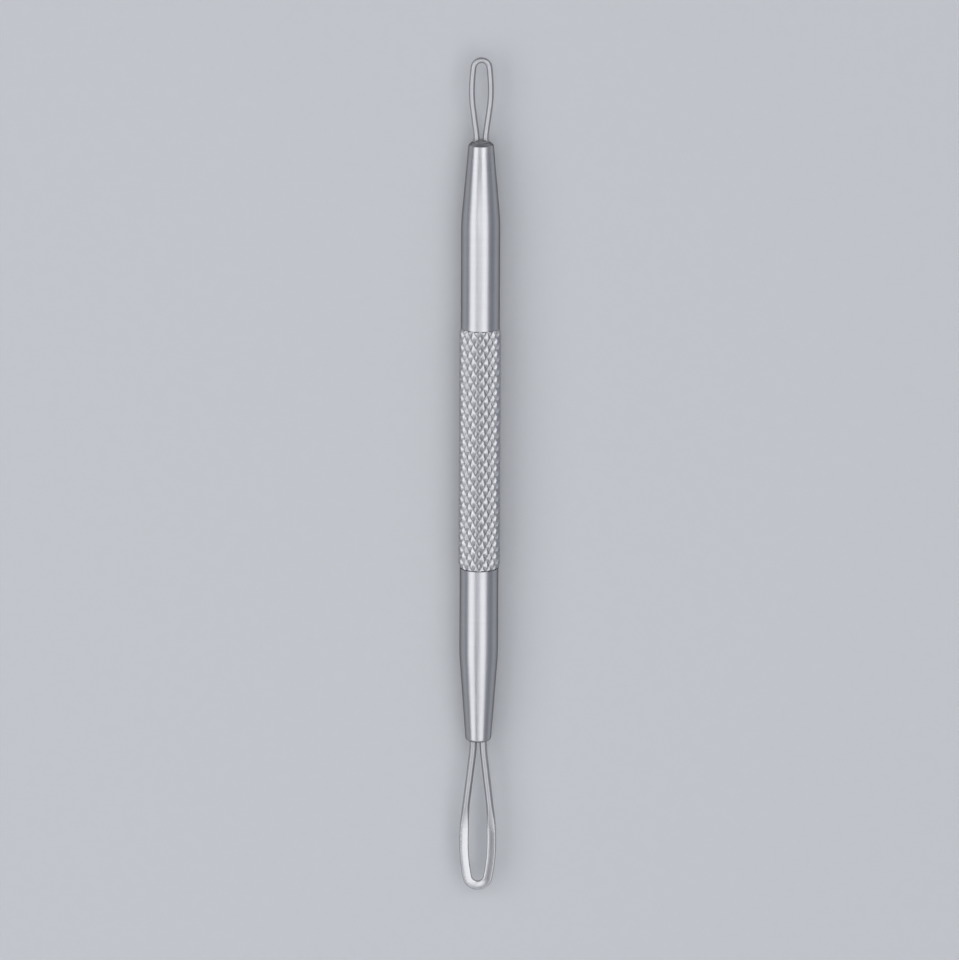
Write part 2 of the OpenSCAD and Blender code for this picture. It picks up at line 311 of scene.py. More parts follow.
def apply_modifier(obj, kind, **settings):
    """Add one modifier, set it and apply it"""
    take(obj)
    bpy.ops.object.modifier_add(type=kind)
    modifier = obj.modifiers[-1]
    for key, value in settings.items():
        setattr(modifier, key, value)
    bpy.ops.object.modifier_apply(modifier=modifier.name)


def remove(obj):
    """Delete a helper object"""
    take(obj)
    bpy.ops.object.delete()


def hand_over(obj, node, material):
    """Let a finished piece stand for its CAD node"""
    obj.data.materials.clear()
    obj.data.materials.append(material)
    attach(obj, "root")
    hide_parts(node)


def arc_points(centre, r, start, end, steps):
    """Points (length, radius) of an arc in a profile, angles in degrees"""
    points = []
    for i in range(steps + 1):
        a = math.radians(start + (end - start) * i / steps)
        points.append((centre[0] + r * math.sin(a), centre[1] + r * math.cos(a)))
    return points


def ease(t):
    """Smooth change from 0 to 1"""
    u = min(1.0, max(0.0, t))
    return u * u * (3 - 2 * u)


def barrel_profile(sizes, barrel_l, taper_l, tip_d):
    """Profile (length, radius) from the grip along the barrel to the start of the taper"""
    barrel_r = sizes.barrel_d / 2
    slope = math.degrees(math.atan((barrel_r - tip_d / 2) / taper_l))
    tangent_l = sizes.blend_r * math.tan(math.radians(slope) / 2)
    stretch = [(barrel_l * share, barrel_r) for share in (0, 0.01, 0.2, 0.4, 0.6, 0.8)]
    blend = arc_points((barrel_l - tangent_l, barrel_r - sizes.blend_r), sizes.blend_r, 0, slope, 6)
    return stretch + blend


def turned_body(sizes, brazes, large, small):
    """The handle's rod with its barrels, tapers, rims and wire bores"""
    grip_low = LARGE_FACE_Y + sizes.large_taper_l + sizes.large_barrel_l
    grip_high = SMALL_FACE_Y - sizes.small_taper_l - sizes.small_barrel_l
    small_bore_r = (small.leg_gap + small.wire_d) / 2 + brazes.bore_clearance
    large_bore_r = (large.leg_gap + large.wire_d) / 2 + brazes.bore_clearance
    small_tip_r = sizes.small_tip_d / 2
    large_tip_r = sizes.large_tip_d / 2
    core_r = sizes.core_d / 2
    mouth = 0.03 * MM
    soft = 0.05 * MM

    small_end = [
        (SMALL_FACE_Y - sizes.bore_l, small_bore_r),
        (SMALL_FACE_Y - mouth, small_bore_r),
        (SMALL_FACE_Y, small_bore_r + mouth),
        (SMALL_FACE_Y, small_tip_r - sizes.end_chamfer - soft),
        (SMALL_FACE_Y - soft / 3, small_tip_r - sizes.end_chamfer),
        (SMALL_FACE_Y - sizes.end_chamfer + soft / 3, small_tip_r - soft / 2),
        (SMALL_FACE_Y - sizes.end_chamfer - soft, small_tip_r + soft * 0.05),
    ]
    small_side = barrel_profile(sizes, sizes.small_barrel_l, sizes.small_taper_l, sizes.small_tip_d)
    small_side = [(grip_high + l, r) for l, r in reversed(small_side)]
    large_side = barrel_profile(sizes, sizes.large_barrel_l, sizes.large_taper_l, sizes.large_tip_d)
    large_side = [(grip_low - l, r) for l, r in large_side]
    rim = arc_points((sizes.end_round, large_tip_r - sizes.end_round), sizes.end_round, 0, 90, 8)
    rim = [(LARGE_FACE_Y + 2 * sizes.end_round - l, r) for l, r in rim]
    large_end = rim + [
        (LARGE_FACE_Y, large_bore_r + mouth),
        (LARGE_FACE_Y + mouth, large_bore_r),
        (LARGE_FACE_Y + sizes.bore_l, large_bore_r),
    ]
    profile = small_end + small_side + [(grip_high, core_r), (grip_low, core_r)] + large_side + large_end

    first_y = profile[0][0]
    body = ring_across("Handle", sizes.sides, small_bore_r, (0, first_y, AXIS_Z))
    close_to_point(-small_bore_r / math.tan(sizes.drill_angle / 2))
    pick(body, 'VERT', lambda v: abs(v.co.y - first_y) < TOUCH)
    turn_profile(profile)
    close_to_point(large_bore_r / math.tan(sizes.drill_angle / 2))
    finish_mesh(body)
    return body, grip_low, grip_high


def knurled_band(knurl, grip_low, grip_high):
    """The diamond knurl: two crossing sets of grooves round the grip, running out at both barrels"""
    cells = knurl.diamonds_round
    half_row = (grip_high - grip_low) / knurl.half_rows
    quarter_turn = math.pi / cells
    y = grip_low
    band = ring_across("Knurl", cells, knurl.groove_d / 2, (0, y, AXIS_Z))
    for _ in range(knurl.half_rows):
        y += half_row
        extrude_on(half_row)
        bpy.ops.transform.rotate(value=quarter_turn, orient_axis='Y', center_override=(0, y, AXIS_Z))
    bpy.ops.mesh.select_all(action='SELECT')
    bpy.ops.mesh.quads_convert_to_tris(quad_method='SHORTEST_DIAGONAL')
    inside_low = grip_low + half_row / 2
    inside_high = grip_high - half_row / 2
    pick(band, 'EDGE', lambda e: abs(e.verts[0].co.y - e.verts[1].co.y) < half_row / 4
         and inside_low < e.verts[0].co.y < inside_high)
    bpy.ops.mesh.dissolve_edges(use_verts=False)
    bpy.ops.mesh.select_all(action='SELECT')
    bpy.ops.mesh.normals_make_consistent(inside=False)
    for corners, share in ((4, 1.0), (3, knurl.end_share)):
        pick(band, 'FACE', lambda f: len(f.verts) == corners)
        bpy.ops.mesh.inset(
            thickness=knurl.flank_w * share, depth=knurl.crest_h * share, use_individual=True)
    bpy.ops.mesh.select_mode(type='EDGE')
    bpy.ops.mesh.select_all(action='SELECT')
    bpy.ops.mesh.bevel(offset=knurl.softness, segments=2, profile=0.5, affect='EDGES')
    middle = (grip_low + grip_high) / 2
    for side, end_y in ((-1, grip_low), (1, grip_high)):
        pick(band, 'VERT', lambda v: v.is_boundary and (v.co.y - middle) * side > 0)
        extrude_on(side * knurl.run_out)
        bpy.ops.transform.resize(
            value=(HIDDEN_END, 1, HIDDEN_END), center_override=(0, end_y, AXIS_Z))
        bpy.ops.mesh.edge_face_add()
    finish_mesh(band)
    return band


class EXTRACTOR_OT_turn_handle(bpy.types.Operator):
    """Turn the handle with its tapers and bores, and knurl its grip"""
    bl_idname = "extractor.turn_handle"
    bl_label = "Turn and Knurl the Handle"

    def execute(self, context):
        s = context.scene
        body, grip_low, grip_high = turned_body(
            s.extractor_handle, s.extractor_braze, s.extractor_large, s.extractor_small)
        band = knurled_band(s.extractor_knurl, grip_low, grip_high)
        apply_modifier(body, 'BOOLEAN', operation='UNION', solver='EXACT', object=band)
        remove(band)
        shade_smooth(body, HARD_EDGE)
        steel = turned_steel(
            s.extractor_finish, s.extractor_knurl, grip_low, grip_high,
            s.extractor_handle.end_round / 3, s.extractor_handle.end_chamfer)
        hand_over(body, "handle", steel)
        return {'FINISHED'}


def loop_path(leg_depth, lead, loop_l, half_w, tip_thick, sizes):
    """Centreline of a loop as points (x, y), from one leg's end round the tip to the other's"""
    turn = sizes.leg_angle
    rise = (sizes.root_r + sizes.belly_r) * (1 - math.cos(turn))
    straight_l = (half_w - sizes.leg_gap / 2 - rise) / math.sin(turn)
    widest_y = lead + (sizes.root_r + sizes.belly_r) * math.sin(turn) + straight_l * math.cos(turn)
    to_tip = loop_l - tip_thick / 2 - sizes.tip_r - widest_y
    side_r = (half_w ** 2 - sizes.tip_r ** 2 + to_tip ** 2) / (2 * (half_w - sizes.tip_r))
    side_turn = math.asin(to_tip / (side_r - sizes.tip_r))
    tip_turn = math.pi / 2 - side_turn
    stretches = [
        (leg_depth + lead, 0, 12), (sizes.root_r * turn, -turn, 12), (straight_l, 0, 16),
        (sizes.belly_r * turn, turn, 24), (side_r * side_turn, side_turn, 24),
        (sizes.tip_r * tip_turn, tip_turn, 28)]
    x, y, heading = -sizes.leg_gap / 2, -leg_depth, 0.0
    points = [(x, y)]
    for length, bend, steps in stretches:
        piece, part = length / steps, bend / steps
        chord = piece if bend == 0 else piece * math.sin(part / 2) / (part / 2)
        for _ in range(steps):
            x += chord * math.sin(heading + part / 2)
            y += chord * math.cos(heading + part / 2)
            heading += part
            points.append((x, y))
    return points + [(-px, py) for px, py in reversed(points[:-1])]


def bend_wire(wire, points, face_y, direction):
    """Bend a straight wire along a flat path that leaves an end face, at the height of the axis"""
    take(wire)
    wire.rotation_euler.y = math.radians(90)
    bpy.ops.object.transform_apply(location=True, rotation=True, scale=True)
    curve = bpy.data.curves.new(wire.name + "Path", 'CURVE')
    curve.dimensions = '2D'
    spline = curve.splines.new('POLY')
    spline.points.add(len(points) - 1)
    for point, (x, y) in zip(spline.points, points):
        point.co = (x * direction, face_y + y * direction, 0, 1)
    guide = bpy.data.objects.new(curve.name, curve)
    bpy.context.collection.objects.link(guide)
    bpy.context.view_layer.update()
    apply_modifier(wire, 'CURVE', object=guide, deform_axis='POS_Y')
    remove(guide)
    wire.location.z = AXIS_Z
    take(wire)
    bpy.ops.object.transform_apply(location=True, rotation=True, scale=True)


def straight_wire(name, wire_d, length, sides, ring_step):
    """A straight closed wire along Y, cut into rings, open in edit mode"""
    wire = ring_across(name, sides, wire_d / 2, (0, 0, 0))
    extrude_on(length)
    lengths = 24
    rings_each = round(length / lengths / ring_step)
    for parts in (lengths, rings_each):
        pick(wire, 'EDGE', lambda e: abs(e.verts[0].co.y - e.verts[1].co.y) > ring_step / 2)
        bpy.ops.mesh.subdivide(number_cuts=parts - 1)
    rings = lengths * rings_each
    for end_y in (0, length):
        pick(wire, 'VERT', lambda v: abs(v.co.y - end_y) < TOUCH)
        bpy.ops.mesh.edge_face_add()
    return wire, rings


def mark_drawing(wire, step, shares):
    """Remember each point's place on the straight wire and how far it is pressed, for the finish"""
    rest_all()
    place = wire.data.attributes.new("drawn_place", 'FLOAT_VECTOR', 'POINT')
    for vertex, value in zip(wire.data.vertices, place.data):
        value.vector = vertex.co
    pressed = wire.data.attributes.new("pressed", 'FLOAT', 'POINT')
    for vertex, value in zip(wire.data.vertices, pressed.data):
        value.value = shares[round(vertex.co.y / step)]


def press_ring(wire, y_from, y_to, share, sizes):
    """Press the rings between two places flat by a share, and lean their inner edge down"""
    pick(wire, 'VERT', lambda v: y_from <= v.co.y <= y_to)
    centre = (0, (y_from + y_to) / 2, 0)
    wide = 1 + (sizes.band_w / sizes.wire_d - 1) * share
    thick = sizes.wire_d + (sizes.band_t - sizes.wire_d) * share
    spare = 1 + sizes.band_flat * share
    crown = sizes.band_crown
    bpy.ops.transform.resize(value=(wide, 1, thick / sizes.wire_d * spare), center_override=centre)
    for side in (-1, 1):
        face_z = side * thick / 2 * (1 - crown * spare) / (1 - crown)
        pick(wire, 'VERT', lambda v: y_from <= v.co.y <= y_to and (v.co.z - face_z) * side > 0)
        bpy.ops.transform.resize(value=(1, 1, crown), center_override=(0, centre[1], face_z))
    pick(wire, 'VERT', lambda v: y_from <= v.co.y <= y_to)
    bpy.ops.transform.rotate(value=-sizes.band_dish * share, orient_axis='Y', center_override=centre)


def path_length(points):
    """Lengths along a path up to each of its points"""
    lengths = [0.0]
    for a, b in zip(points, points[1:]):
        lengths.append(lengths[-1] + math.dist(a, b))
    return lengths


def height_on_path(points, lengths, s):
    """The y of a path at a length along it"""
    for i in range(1, len(points)):
        if s <= lengths[i]:
            t = (s - lengths[i - 1]) / (lengths[i] - lengths[i - 1])
            return points[i - 1][1] + t * (points[i][1] - points[i - 1][1])
    return points[-1][1]


class EXTRACTOR_OT_bend_large_loop(bpy.types.Operator):
    """Press the large loop's wire into a band and bend it"""
    bl_idname = "extractor.bend_large_loop"
    bl_label = "Bend the Large Loop"

    def execute(self, context):
        s = context.scene
        sizes, brazes = s.extractor_large, s.extractor_braze
        points = loop_path(
            brazes.leg_depth, brazes.large_h, LARGE_LOOP_L, (sizes.width - sizes.band_w) / 2,
            sizes.band_w, sizes)
        lengths = path_length(points)
        total = lengths[-1]
        wire, rings = straight_wire("LargeLoop", sizes.wire_d, total, 64, 0.14 * MM)
        step = total / rings
        shares = []
        for i in range(rings + 1):
            y = height_on_path(points, lengths, i * step)
            shares.append(ease((y - sizes.band_start) / sizes.band_change_l))
        full = [i for i, share in enumerate(shares) if share > 0.9999]
        for i, share in enumerate(shares):
            if 0.0001 < share <= 0.9999:
                press_ring(wire, (i - RING_REACH) * step, (i + RING_REACH) * step, share, sizes)
        press_ring(wire, (full[0] - RING_REACH) * step, (full[-1] + RING_REACH) * step, 1.0, sizes)
        mark_drawing(wire, step, shares)
        bend_wire(wire, points, LARGE_FACE_Y, -1)
        finish_mesh(wire, BAND_HARD_EDGE)
        hand_over(wire, "large_loop", drawn_steel(s.extractor_finish))
        return {'FINISHED'}


class EXTRACTOR_OT_bend_small_loop(bpy.types.Operator):
    """Bend the small loop from round wire"""
    bl_idname = "extractor.bend_small_loop"
    bl_label = "Bend the Small Loop"

    def execute(self, context):
        s = context.scene
        sizes, brazes = s.extractor_small, s.extractor_braze
        points = loop_path(
            brazes.leg_depth, brazes.small_h, SMALL_LOOP_L, (sizes.width - sizes.wire_d) / 2,
            sizes.wire_d, sizes)
        total = path_length(points)[-1]
        wire, rings = straight_wire("SmallLoop", sizes.wire_d, total, 40, 0.1 * MM)
        mark_drawing(wire, total / rings, [0.0] * (rings + 1))
        bend_wire(wire, points, SMALL_FACE_Y, 1)
        finish_mesh(wire, WIRE_HARD_EDGE)
        hand_over(wire, "small_loop", drawn_steel(s.extractor_finish))
        return {'FINISHED'}


def plug_and_dome(name, face_y, out, bore_r, foot_r, dome_h, depth):
    """The joint metal in a bore's mouth, with a low dome on the end face"""
    start = face_y - out * depth
    lip = out * 0.01 * MM
    plug = ring_across(name, 48, bore_r, (0, start, AXIS_Z))
    bpy.ops.mesh.edge_face_add()
    steps = 7
    dome = []
    for i in range(steps):
        a = math.radians(90) * i / steps
        dome.append((face_y + out * dome_h * math.sin(a), foot_r * math.cos(a)))
    turn_profile([(start, bore_r), (face_y - lip, bore_r)] + dome)
    close_to_point(lip)
    finish_mesh(plug)
    return plug


def collar(name, face_y, out, x, wire_r, rise):
    """A cone of joint metal that climbs a wire"""
    start = face_y - out * 0.1 * MM
    foot_r = wire_r + 0.16 * MM
    waist_r = wire_r + 0.1 * MM
    top_r = wire_r + 0.02 * MM
    ring = ring_across(name, 28, foot_r, (x, start, AXIS_Z))
    bpy.ops.mesh.edge_face_add()
    turn_profile(
        [(start, foot_r), (face_y + out * rise * 0.35, waist_r), (face_y + out * rise, top_r)], x)
    close_to_point(0)
    finish_mesh(ring)
    return ring


def smear(name, place, size):
    """A flat drop of joint metal"""
    rest_all()
    bpy.ops.mesh.primitive_uv_sphere_add(segments=24, ring_count=12, radius=1, location=place)
    drop = bpy.context.object
    drop.name = name
    drop.scale = size
    bpy.ops.object.transform_apply(location=True, rotation=True, scale=True)
    return drop


def run_braze(name, node, face_y, out, wire_d, leg_gap, dome_h, rise, brazes, finish, drops=()):
    """One joint: plug, dome, climbing collars and drops melted together"""
    bore_r = (leg_gap + wire_d) / 2 + brazes.bore_clearance
    pool = plug_and_dome(name, face_y, out, bore_r, bore_r + brazes.spread, dome_h, brazes.depth)
    lumps = [collar("Collar", face_y, out, side * leg_gap / 2, wire_d / 2, rise) for side in (-1, 1)]
    lumps += [smear("Drop", place, size) for place, size in drops]
    for lump in lumps:
        apply_modifier(pool, 'BOOLEAN', operation='UNION', solver='EXACT', object=lump)
        remove(lump)
    apply_modifier(pool, 'REMESH', mode='VOXEL', voxel_size=0.03 * MM)
    apply_modifier(pool, 'SMOOTH', factor=0.5, iterations=6)
    finish_mesh(pool, WIRE_HARD_EDGE)
    hand_over(pool, node, braze_metal(finish))


class EXTRACTOR_OT_run_braze(bpy.types.Operator):
    """Run the joint metal round the legs of both loops"""
    bl_idname = "extractor.run_braze"
    bl_label = "Run the Braze"

    def execute(self, context):
        s = context.scene
        brazes, finish = s.extractor_braze, s.extractor_finish
        large, small = s.extractor_large, s.extractor_small
        flat_drop = (
            (-0.42 * MM, SMALL_FACE_Y, AXIS_Z + 0.62 * MM), (0.34 * MM, 0.1 * MM, 0.44 * MM))
        thick_drop = (
            (-0.3 * MM, SMALL_FACE_Y + 0.02 * MM, AXIS_Z + 0.4 * MM),
            (0.3 * MM, 0.24 * MM, 0.26 * MM))
        run_braze(
            "LargeLoopBraze", "large_loop_braze", LARGE_FACE_Y, -1, large.wire_d, large.leg_gap,
            brazes.large_h, 0.2 * MM, brazes, finish)
        run_braze(
            "SmallLoopBraze", "small_loop_braze", SMALL_FACE_Y, 1, small.wire_d, small.leg_gap,
            brazes.small_h, 0.42 * MM, brazes, finish, drops=(flat_drop, thick_drop))
        return {'FINISHED'}


def new_group(name, inputs, outputs):
    """A shader node group with named value, colour or vector sockets"""
    group = bpy.data.node_groups.new(name, 'ShaderNodeTree')
    for label, kind, default in inputs:
        socket = group.interface.new_socket(name=label, in_out='INPUT', socket_type=kind)
        if default is not None:
            socket.default_value = default
    for label, kind in outputs:
        group.interface.new_socket(name=label, in_out='OUTPUT', socket_type=kind)
    return group, group.nodes.new('NodeGroupInput'), group.nodes.new('NodeGroupOutput')


def link(tree, pairs):
    """Link pairs of sockets"""
    for source, target in pairs:
        tree.links.new(source, target)


def math_node(tree, operation, a, b=None):
    """A math node whose inputs are sockets or numbers"""
    node = tree.nodes.new('ShaderNodeMath')
    node.operation = operation
    for i, value in enumerate((a, b)):
        if value is None:
            continue
        if isinstance(value, (int, float)):
            node.inputs[i].default_value = value
        else:
            tree.links.new(value, node.inputs[i])
    return node.outputs[0]


def stretched_noise(tree, vector, scale, detail, roughness=0.5):
    """Noise on a place that is first stretched by a scale for each axis"""
    mapping = tree.nodes.new('ShaderNodeMapping')
    mapping.inputs['Scale'].default_value = scale
    noise = tree.nodes.new('ShaderNodeTexNoise')
    noise.inputs['Scale'].default_value = 1.0
    noise.inputs['Detail'].default_value = detail
    noise.inputs['Roughness'].default_value = roughness
    link(tree, [(vector, mapping.inputs['Vector']), (mapping.outputs[0], noise.inputs['Vector'])])
    return noise.outputs['Fac']


def grain_group():
    """Fine tool marks that run along one direction, with broader streaks and soft smudges"""
    name = "Tool Marks"
    if name in bpy.data.node_groups:
        return bpy.data.node_groups[name]
    group, enter, leave = new_group(
        name,
        [("Place", 'NodeSocketVector', None), ("Fine", 'NodeSocketVector', (1, 1, 1)),
         ("Broad", 'NodeSocketVector', (1, 1, 1))],
        [("Lines", 'NodeSocketFloat'), ("Streaks", 'NodeSocketFloat'), ("Smudges", 'NodeSocketFloat')])
    for fineness, detail, out in (("Fine", 3.0, "Lines"), ("Broad", 4.0, "Streaks")):
        scale = group.nodes.new('ShaderNodeVectorMath')
        scale.operation = 'MULTIPLY'
        noise = group.nodes.new('ShaderNodeTexNoise')
        noise.inputs['Scale'].default_value = 1.0
        noise.inputs['Detail'].default_value = detail
        link(group, [
            (enter.outputs["Place"], scale.inputs[0]), (enter.outputs[fineness], scale.inputs[1]),
            (scale.outputs[0], noise.inputs['Vector']), (noise.outputs['Fac'], leave.inputs[out])])
    smudge = stretched_noise(group, enter.outputs["Place"], SMUDGES, 4.0, 0.6)
    link(group, [(smudge, leave.inputs["Smudges"])])
    return group


def depth_group():
    """How deep a point lies in the knurl, from its distance to the tool's axis"""
    name = "Knurl Depth"
    if name in bpy.data.node_groups:
        return bpy.data.node_groups[name]
    group, enter, leave = new_group(
        name,
        [("Place", 'NodeSocketVector', None), ("Axis Height", 'NodeSocketFloat', 0.0),
         ("Groove Radius", 'NodeSocketFloat', 0.0), ("Crest Radius", 'NodeSocketFloat', 0.0),
         ("Grip Low", 'NodeSocketFloat', 0.0), ("Grip High", 'NodeSocketFloat', 0.0)],
        [("Depth", 'NodeSocketFloat')])
    parts = group.nodes.new('ShaderNodeSeparateXYZ')
    link(group, [(enter.outputs["Place"], parts.inputs[0])])
    up = math_node(group, 'SUBTRACT', parts.outputs['Z'], enter.outputs["Axis Height"])
    square = math_node(group, 'ADD', math_node(group, 'MULTIPLY', parts.outputs['X'], parts.outputs['X']),
                       math_node(group, 'MULTIPLY', up, up))
    radius = math_node(group, 'SQRT', square)
    scale = group.nodes.new('ShaderNodeMapRange')
    link(group, [
        (radius, scale.inputs['Value']), (enter.outputs["Crest Radius"], scale.inputs['From Min']),
        (enter.outputs["Groove Radius"], scale.inputs['From Max'])])
    inside = math_node(
        group, 'MULTIPLY', math_node(group, 'GREATER_THAN', parts.outputs['Y'], enter.outputs["Grip Low"]),
        math_node(group, 'LESS_THAN', parts.outputs['Y'], enter.outputs["Grip High"]))
    link(group, [(math_node(group, 'MULTIPLY', scale.outputs[0], inside), leave.inputs["Depth"])])
    return group


def new_material(name):
    """A material with an empty node tree, its Principled shader and output"""
    material = bpy.data.materials.new(name)
    material.use_nodes = True
    tree = material.node_tree
    tree.nodes.clear()
    shader = tree.nodes.new('ShaderNodeBsdfPrincipled')
    out = tree.nodes.new('ShaderNodeOutputMaterial')
    link(tree, [(shader.outputs[0], out.inputs['Surface'])])
    return material, tree, shader


def mix_colour(tree, factor, a, b):
    """A colour mix whose inputs are sockets or colours"""
    node = tree.nodes.new('ShaderNodeMix')
    node.data_type = 'RGBA'
    tree.links.new(factor, node.inputs['Factor'])
    for label, value in (('A', a), ('B', b)):
        socket = [i for i in node.inputs if i.name == label and i.type == 'RGBA'][0]
        if isinstance(value, (tuple, list)):
            socket.default_value = (*value, 1)
        else:
            tree.links.new(value, socket)
    return [o for o in node.outputs if o.type == 'RGBA'][0]


def map_range(tree, value, low, high, from_low=0.0, from_high=1.0):
    """Change a value between two ends into one between low and high"""
    node = tree.nodes.new('ShaderNodeMapRange')
    node.inputs['From Min'].default_value = from_low
    node.inputs['From Max'].default_value = from_high
    node.inputs['To Min'].default_value = low
    node.inputs['To Max'].default_value = high
    tree.links.new(value, node.inputs['Value'])
    return node.outputs[0]


def add_grain(tree, place, fine, broad):
    """Place the tool marks in a material"""
    node = tree.nodes.new('ShaderNodeGroup')
    node.node_tree = grain_group()
    node.inputs["Fine"].default_value = fine
    node.inputs["Broad"].default_value = broad
    tree.links.new(place, node.inputs["Place"])
    return node.outputs


def bump(tree, shader, height, distance):
    """Feed a height to the shader's normal"""
    node = tree.nodes.new('ShaderNodeBump')
    node.inputs['Strength'].default_value = 1.0
    node.inputs['Distance'].default_value = distance
    link(tree, [(height, node.inputs['Height']), (node.outputs[0], shader.inputs['Normal'])])


def darker(colour, share):
    """A colour scaled by a share"""
    return tuple(c * share for c in colour)


def painted_end_shade_mask(tree, place, end_y, out, reach):
    """How much painted shade darkens the steel near an end face, with a wavy border"""
    y = tree.nodes.new('ShaderNodeSeparateXYZ')
    tree.links.new(place, y.inputs[0])
    blotches = stretched_noise(tree, place, END_SHADE_BLOTCHES, 3.0)
    soft = 0.15 * reach
    past = math_node(tree, 'SUBTRACT', y.outputs['Y'], end_y - out * reach)
    edge = math_node(tree, 'MULTIPLY', past, out)
    wavy = math_node(tree, 'ADD', edge, map_range(tree, blotches, -soft, soft))
    return map_range(tree, wavy, 0.0, 1.0, 0.0, soft)


def turned_steel(finish, knurl, grip_low, grip_high, large_reach, small_reach):
    """Satin stainless steel with turning marks round the handle, painted shade and more roughness in the
    knurl's grooves, and painted shade at both end faces
    """
    material, tree, shader = new_material("Turned Steel")
    place = tree.nodes.new('ShaderNodeTexCoord').outputs['Object']
    marks = add_grain(tree, place, TURNED_LINES, TURNED_STREAKS)
    depth = tree.nodes.new('ShaderNodeGroup')
    depth.node_tree = depth_group()
    depth.inputs["Axis Height"].default_value = AXIS_Z
    depth.inputs["Groove Radius"].default_value = knurl.groove_d / 2
    depth.inputs["Crest Radius"].default_value = knurl.groove_d / 2 + 0.16 * MM
    depth.inputs["Grip Low"].default_value = grip_low
    depth.inputs["Grip High"].default_value = grip_high
    tree.links.new(place, depth.inputs["Place"])
    turned = tuple(finish.turned)
    streaked = mix_colour(tree, marks["Streaks"], darker(turned, 0.9), turned)
    # Painted shade: the deeper a point lies in the knurl's grooves, the more it takes the groove shade
    # colour
    colour = mix_colour(tree, depth.outputs["Depth"], streaked, tuple(finish.painted_groove_shade))
    # Painted shade on both end faces and the rims next to them
    for end_y, out, reach in ((LARGE_FACE_Y, -1, large_reach), (SMALL_FACE_Y, 1, small_reach)):
        colour = mix_colour(tree, painted_end_shade_mask(tree, place, end_y, out, reach), colour, tuple(finish.painted_end_shade))
    rough = math_node(
        tree, 'ADD',
        map_range(tree, marks["Smudges"], finish.roughness - 0.05, finish.roughness + 0.07),
        map_range(tree, depth.outputs["Depth"], 0.0, 0.2))
    shader.inputs['Metallic'].default_value = 1.0
    # Painted shade at the handle's sides through the dark edge tint
    shader.inputs['Specular Tint'].default_value = (*finish.edge, 1)
    link(tree, [(colour, shader.inputs['Base Color']), (rough, shader.inputs['Roughness'])])
    bump(tree, shader, marks["Lines"], 0.004 * MM)
    return material


def drawn_steel(finish):
    """Polished wire with fine drawing lines along it"""
    name = "Drawn Steel"
    if name in bpy.data.materials:
        return bpy.data.materials[name]
    material, tree, shader = new_material(name)
    mark = tree.nodes.new('ShaderNodeAttribute')
    mark.attribute_name = "drawn_place"
    marks = add_grain(tree, mark.outputs['Vector'], DRAWN_LINES, DRAWN_STREAKS)
    pressed = tree.nodes.new('ShaderNodeAttribute')
    pressed.attribute_name = "pressed"
    wire = tuple(finish.wire)
    streaks = map_range(tree, marks["Streaks"], 0, 1, 0.35, 0.65)
    streaked = mix_colour(tree, streaks, darker(wire, 0.84), wire)
    colour = mix_colour(tree, pressed.outputs['Fac'], streaked, tuple(finish.band))
    rough = math_node(
        tree, 'ADD', map_range(tree, marks["Smudges"], -0.05, 0.06),
        map_range(tree, pressed.outputs['Fac'], finish.wire_roughness, finish.band_roughness))
    shader.inputs['Metallic'].default_value = 1.0
    link(tree, [(colour, shader.inputs['Base Color']), (rough, shader.inputs['Roughness'])])
    bump(tree, shader, marks["Lines"], 0.0006 * MM)
    return material


def braze_metal(finish):
    """Dull silver braze with a slightly mottled surface"""
    name = "Braze Metal"
    if name in bpy.data.materials:
        return bpy.data.materials[name]
    material, tree, shader = new_material(name)
    place = tree.nodes.new('ShaderNodeTexCoord').outputs['Object']
    marks = add_grain(tree, place, BRAZE_GRAIN, BRAZE_MOTTLE)
    braze = tuple(finish.braze)
    colour = mix_colour(tree, marks["Streaks"], darker(braze, 0.75), braze)
    rough = map_range(tree, marks["Streaks"], 0.3, 0.5)
    shader.inputs['Metallic'].default_value = 1.0
    link(tree, [(colour, shader.inputs['Base Color']), (rough, shader.inputs['Roughness'])])
    bump(tree, shader, marks["Lines"], 0.02 * MM)
    return material


def floor_material(studio):
    """Pale matt floor with a faint paper tooth"""
    material, tree, shader = new_material("Pale Floor")
    place = tree.nodes.new('ShaderNodeTexCoord').outputs['Object']
    tooth = stretched_noise(tree, place, PAPER_TOOTH, 3.0)
    floor = tuple(studio.floor)
    colour = mix_colour(tree, tooth, darker(floor, 0.97), floor)
    shader.inputs['Roughness'].default_value = 0.9
    shader.inputs['Specular IOR Level'].default_value = 0.1
    link(tree, [(colour, shader.inputs['Base Color'])])
    return material


def face_tool(light):
    """Turn a light towards the tool, with its length along the tool"""
    back = (light.location - Vector((0, 0, AXIS_Z))).normalized()
    side = Vector((0, 1, 0)).cross(back).normalized()
    light.rotation_euler = Matrix((side, back.cross(side), back)).transposed().to_euler()


def soft_light(name, direction, distance, width, length, brightness):
    """A white soft box, given by its direction, its size and how bright its face looks"""
    rest_all()
    place = Vector((0, 0, AXIS_Z)) + Vector(direction).normalized() * distance
    bpy.ops.object.light_add(type='AREA', location=place)
    light = bpy.context.object
    light.name = name
    light.data.shape = 'RECTANGLE'
    light.data.size = width
    light.data.size_y = length
    light.data.energy = brightness * math.pi * width * length
    face_tool(light)


